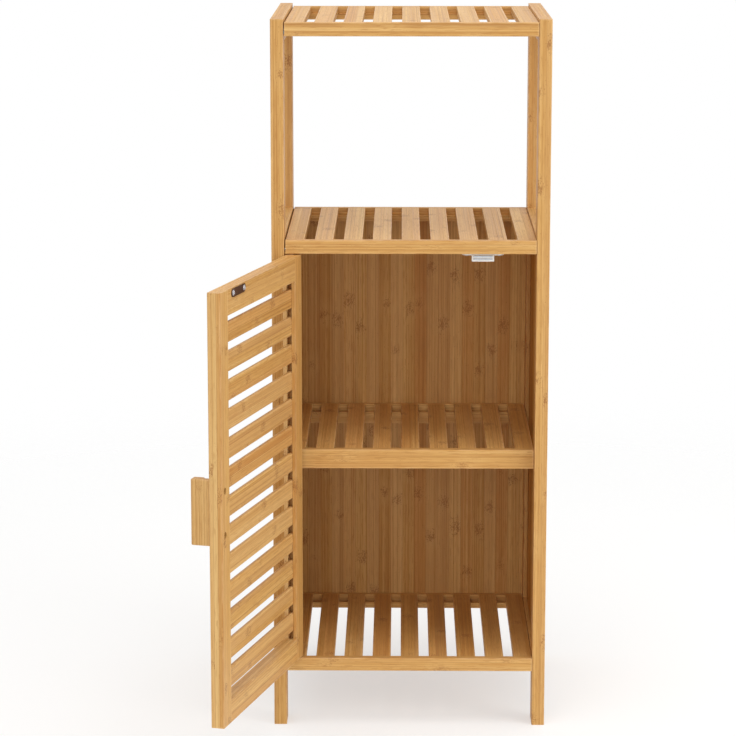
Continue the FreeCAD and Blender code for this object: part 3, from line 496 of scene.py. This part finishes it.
# Door frame
# Two grooved stiles of three glued layers and two tenoned rails of four, planed flush and eased along the
# outer edges; the door stands open at rest by the angle that closes it, so its boards have turned axes.
door_hinge = frame["record"]["behaviour"]["joints"][0]
closing_angle = math.radians(max(door_hinge["range_deg"]))
DOOR_ALONG = Vector((math.cos(closing_angle), -math.sin(closing_angle), 0))
DOOR_THROUGH = Vector((math.sin(closing_angle), math.cos(closing_angle), 0))
STILE = {"strip": 14 * MM, "layers": 3, "contrast": 0.45, "knots": 0.9}
dress_board("door_hinge_stile", UP, DOOR_ALONG, tone=0.12, **STILE)
dress_board("door_free_stile", UP, DOOR_ALONG, tone=0.15, draw=3, **STILE)
for level in ("top", "bottom"):
    dress_board(f"door_{level}_rail", DOOR_ALONG, UP, strip=16 * MM, layers=4, tone=0.1)

# Door slats
# Thirteen thin bamboo slats with well rounded edges, two or three strips to a face, their ends held in the
# grooves of the stiles.
DOOR_SLATS = (13, 25.5 * MM)
dress_board("door_slats", DOOR_ALONG, UP, strip=13 * MM, layers=2, row=DOOR_SLATS, contrast=0.5, knots=0.7)

# Handle
# A finger pull shaped from one block of laminated bamboo: a neck against the door and a head whose lip
# stands out towards the hinge side. Two screws from inside the door hold it.
dress_board("door_handle", UP, DOOR_THROUGH, strip=24 * MM, layers=4, tone=0.2)

# Handle screws
# Two zinc-plated steel screws with a pan head and a cross drive, which pass through the free stile into the
# handle, their heads deep in holes of the stile.
DOOR_AXES = Matrix((DOOR_ALONG, UP, DOOR_THROUGH))
SCREW_FACETS = 64
CROWN_RINGS = 26


def smooth_step(values, low, high):
    """0 up to low, 1 from high on, and the curve 3 s squared minus 2 s cubed between."""
    share = np.clip((values - low) / (high - low), 0, 1)
    return share * share * (3 - 2 * share)


def cross_screw(head, head_height, shank, length, crown):
    """A screw along its own axis, crown up, with the underside of its head at height 0.

    A profile of radius and height runs from the middle of the crown over the rim, under the head and down
    the shank to its point, and is carried round the axis. The crown is part of a flat ellipse. A cross is
    sunk into it: its depth is a smooth step of how far inside the nearer arm a point lies.
    """
    turns = np.linspace(0, 2 * np.pi, SCREW_FACETS, endpoint=False)
    sweep = np.linspace(0.04, 1, CROWN_RINGS) * (np.pi / 2)
    rim = head_height - crown
    over_crown = np.stack([head / 2 * np.sin(sweep), rim + crown * np.cos(sweep)], axis=-1)
    under_rim = [(head / 2, rim * 0.3), (head / 2 * 0.94, 0.0)]
    down_shank = [(shank / 2, 0.0), (shank / 2, -length * 0.85), (shank * 0.3, -length * 0.97)]
    profile = np.concatenate([over_crown, under_rim, down_shank])
    radius = profile[:, :1]
    height = profile[:, 1:]
    across = radius * np.cos(turns)
    beside = radius * np.sin(turns)
    arm_width = head * 0.17
    arm_reach = head * 0.58
    depth = head_height * 0.55
    nearer = np.minimum(np.abs(across), np.abs(beside))
    farther = np.maximum(np.abs(across), np.abs(beside))
    inside = np.minimum(arm_width / 2 - nearer, (arm_reach / 2 - farther) * 0.5)
    on_crown = np.arange(len(radius))[:, None] < len(sweep)
    sunk = depth * smooth_step(inside, -0.02 * head, 0.05 * head) * on_crown
    grid = np.stack([across, beside, height - sunk + 0 * across], axis=-1)
    crown_middle = [0.0, 0.0, head_height - depth]
    point = [0.0, 0.0, -length]
    points = np.concatenate([[crown_middle], grid.reshape(-1, 3), [point]])
    return points, len(radius), len(turns)


def turned_faces(rows, columns, first):
    """The faces of a closed turned surface: a fan at each end and quads between neighbouring rings."""
    ring = np.arange(columns)
    following = np.roll(ring, -1)
    fan = np.stack([np.zeros_like(ring), 1 + ring, 1 + following], axis=-1)
    starts = 1 + np.arange(rows - 1)[:, None] * columns
    quads = np.stack(
        [starts + ring, starts + columns + ring, starts + columns + following, starts + following], axis=-1
    ).reshape(-1, 4)
    last = 1 + (rows - 1) * columns
    tail = np.stack([last + ring, np.full_like(ring, last + columns), last + following], axis=-1)
    return [(faces + first).tolist() for faces in (fan, quads, tail)]


def screw_pair(name, centres, outward, side, sizes, material):
    """Two like screws as one piece, with their axes outward and an arm of each cross along the side."""
    up_axis = np.array(outward)
    side_axis = np.array(side)
    third = np.cross(up_axis, side_axis)
    own, rows, columns = cross_screw(**sizes)
    turned = own @ np.stack([side_axis, third, up_axis])
    points = np.concatenate([turned + centre for centre in centres])
    faces = []
    for number in range(len(centres)):
        for part in turned_faces(rows, columns, first=number * len(own)):
            faces.extend(part)
    mesh = bpy.data.meshes.new(name)
    mesh.from_pydata(points.tolist(), [], faces)
    mesh.polygons.foreach_set("use_smooth", np.ones(len(faces), dtype=bool))
    mesh.materials.append(material)
    mesh.update()
    piece = bpy.data.objects.new(name, mesh)
    bpy.context.scene.collection.objects.link(piece)
    return piece


def head_centres(node, screw):
    """Where the undersides of a node's two heads are: one at each end of its box, under the inmost face."""
    low, high = own_box(node, DOOR_AXES)
    through = high[2] - screw["head_height"]
    radius = screw["head"] / 2
    places = (low[0] + radius, low[1] + radius, through), (high[0] - radius, high[1] - radius, through)
    return [np.array(place) @ np.array(DOOR_AXES) for place in places]


HANDLE_SCREW = {
    "head": 8.4 * MM,
    "head_height": 3 * MM,
    "shank": 4 * MM,
    "length": 20 * MM,
    "crown": 1.4 * MM,
}
handle_screws = screw_pair(
    "handle_screws_cross_drive",
    head_centres("handle_screws", HANDLE_SCREW),
    DOOR_THROUGH,
    UP,
    HANDLE_SCREW,
    zinc_steel,
)
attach(handle_screws, "door")
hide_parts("handle_screws")

# Pivot pins and bushes
# Two ground steel pins fixed in the ends of the hinge stile turn in flanged bushes of brown plastic that
# are pressed into the shelf rails.
PIN_STEEL = seen(172, 173, 176)
PIN_SHADE = seen(128, 129, 133)
MOULDED_BROWN = seen(146, 102, 58)
BROWN_SHADE = seen(122, 82, 45)
pin_steel = handled_material("pin_steel", PIN_STEEL, PIN_SHADE, 0.3, 1.0)
brown_plastic = handled_material("brown_plastic", MOULDED_BROWN, BROWN_SHADE, 0.48, 0.0)
for level in ("top", "bottom"):
    dress(f"door_{level}_pivot_pin", pin_steel)
    dress(f"{level}_pivot_bush", brown_plastic)

# Strike plate and its screws
# A blackened steel plate with rounded corners on the inside of the door's top rail, held by two bright
# chromed screws with a low crowned head and a cross drive.
BLACKENED = seen(82, 56, 42)
BLACKENED_SHADE = seen(110, 78, 58)
CHROME = seen(222, 221, 224)
CHROME_SHADE = seen(176, 174, 178)
dark_plate = handled_material("dark_plate", BLACKENED, BLACKENED_SHADE, 0.42, 0.6)
bright_chrome = handled_material("bright_chrome", CHROME, CHROME_SHADE, 0.14, 1.0)
dress("strike_plate", dark_plate)
STRIKE_SCREW = {
    "head": 7.6 * MM,
    "head_height": 1.2 * MM,
    "shank": 3 * MM,
    "length": 13 * MM,
    "crown": 1.0 * MM,
}
strike_screws = screw_pair(
    "strike_screws_cross_drive",
    head_centres("strike_plate_screws", STRIKE_SCREW),
    DOOR_THROUGH,
    UP,
    STRIKE_SCREW,
    bright_chrome,
)
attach(strike_screws, "door")
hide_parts("strike_plate_screws")

# Magnetic catch
# A white moulded housing under the cabinet top, with two steel pole plates and a ferrite magnet pushed into
# it and two small screws through its flange.
MOULDED_WHITE = seen(246, 246, 243)
WHITE_SHADE = seen(230, 229, 222)
POLE_STEEL = seen(196, 200, 206)
POLE_SHADE = seen(168, 172, 179)
FERRITE = seen(58, 57, 58)
FERRITE_SHADE = seen(84, 82, 81)
white_plastic = handled_material("white_plastic", MOULDED_WHITE, WHITE_SHADE, 0.42, 0.0)
pole_steel = handled_material("pole_steel", POLE_STEEL, POLE_SHADE, 0.36, 1.0)
ferrite = handled_material("ferrite", FERRITE, FERRITE_SHADE, 0.6, 0.0)
dress("catch_housing", white_plastic)
dress("catch_pole_plates", pole_steel)
dress("catch_magnet", ferrite)
dress("catch_screws", zinc_steel)

# Floor
# A plain pale studio floor under the cabinet, which keeps its shadow and fades into the white background.
# The camera and mirror-like reflections see it lifted towards that white.
FLOOR_REACH = 2.2
FLOOR_PALE = seen(246, 246, 245)
FLOOR_LIFT = 0.5
FADE_START = 0.45 * FLOOR_REACH
FADE_END = 0.95 * FLOOR_REACH
WHITE = (1, 1, 1, 1)
BLACK = (0, 0, 0, 1)
corners = FLOOR_REACH * np.array([[-1, -1, 0], [1, -1, 0], [1, 1, 0], [-1, 1, 0]])
floor_mesh = bpy.data.meshes.new("studio_floor")
floor_mesh.from_pydata(corners.tolist(), [], [(0, 1, 2, 3)])
floor = bpy.data.objects.new("studio_floor", floor_mesh)
bpy.context.scene.collection.objects.link(floor)
floor_paint = bpy.data.materials.new("studio_floor")
floor_paint.use_nodes = True
floor_tree = floor_paint.node_tree
floor_shader = floor_tree.nodes["Principled BSDF"]
floor_shader.inputs["Roughness"].default_value = 0.9
floor_place = floor_tree.nodes.new("ShaderNodeTexCoord")
x, y = parts_of(floor_place.outputs["Object"])[:2]
from_middle = (x * x + y * y).through("SQRT")
feed(floor_shader.inputs["Alpha"], from_middle.falling(FADE_START, FADE_END))
floor_mesh.materials.append(floor_paint)


def from_camera(tree):
    """1 on rays that the camera sees straight, by a reflection or through glass, and 0 on all others."""
    rays = tree.nodes.new("ShaderNodeLightPath")
    mirrored = Field(rays.outputs["Is Camera Ray"]).through("MAXIMUM", rays.outputs["Is Glossy Ray"])
    return mirrored.through("MAXIMUM", rays.outputs["Is Transmission Ray"])


lift = from_camera(floor_tree) * FLOOR_LIFT
feed(floor_shader.inputs["Emission Color"], drawn(BLACK, WHITE, lift))
feed(floor_shader.inputs["Base Color"], drawn(FLOOR_PALE, BLACK, lift))
floor_shader.inputs["Emission Strength"].default_value = 1.0

# Light
# Three large softboxes, in front, to the right and overhead, and an even white surround that fills the
# shadows; the camera and mirror-like reflections see the surround as plain white.
FILL = 0.76
SOFTBOXES = {
    "key_softbox": {"place": (-0.6, -3.4, 1.9), "aim": (0, 0, 0.45), "size": 1.8, "power": 15},
    "fill_softbox": {"place": (2.9, -1.9, 1.4), "aim": (0, 0, 0.4), "size": 1.8, "power": 36},
    "top_softbox": {"place": (0.0, -0.8, 3.4), "aim": (0, 0, 0.5), "size": 2.0, "power": 36},
}


def softbox(name, place, aim, size, power):
    """A square soft light at a place, facing a point."""
    lamp = bpy.data.lights.new(name, "AREA")
    lamp.shape = "SQUARE"
    lamp.size = size
    lamp.energy = power
    holder = bpy.data.objects.new(name, lamp)
    holder.location = place
    holder.rotation_euler = (Vector(aim) - Vector(place)).to_track_quat("-Z", "Y").to_euler()
    bpy.context.scene.collection.objects.link(holder)


for name, settings in SOFTBOXES.items():
    softbox(name, **settings)
world = bpy.data.worlds.new("studio")
bpy.context.scene.world = world
world.use_nodes = True
world_tree = world.node_tree
surround = world_tree.nodes["Background"]
surround.inputs["Color"].default_value = WHITE
surround.inputs["Strength"].default_value = FILL
backdrop = world_tree.nodes.new("ShaderNodeBackground")
backdrop.inputs["Color"].default_value = WHITE
backdrop.inputs["Strength"].default_value = 1.0
chosen = world_tree.nodes.new("ShaderNodeMixShader")
feed(chosen.inputs[0], from_camera(world_tree))
feed(chosen.inputs[1], surround.outputs[0])
feed(chosen.inputs[2], backdrop.outputs[0])
feed(world_tree.nodes["World Output"].inputs["Surface"], chosen.outputs[0])
bpy.context.scene.view_settings.view_transform = "Standard"

# Camera
# It stands in front of the cabinet, a little above its top, and looks slightly down through a long lens.
# Its place and direction are fitted to the corners of the cabinet.
CAMERA_PLACE = (-0.0120, -3.7903, 1.2012)
LOOK_DOWN = math.radians(11.07)
LOOK_LEFT = math.radians(0.691)
SENSOR_WIDTH = 36
LENS = 136.8
camera_data = bpy.data.cameras.new("camera")
camera_data.sensor_width = SENSOR_WIDTH
camera_data.lens = LENS
camera = bpy.data.objects.new("camera", camera_data)
camera.location = CAMERA_PLACE
camera.rotation_euler = (math.pi / 2 - LOOK_DOWN, 0, LOOK_LEFT)
bpy.context.scene.collection.objects.link(camera)
bpy.context.scene.camera = camera
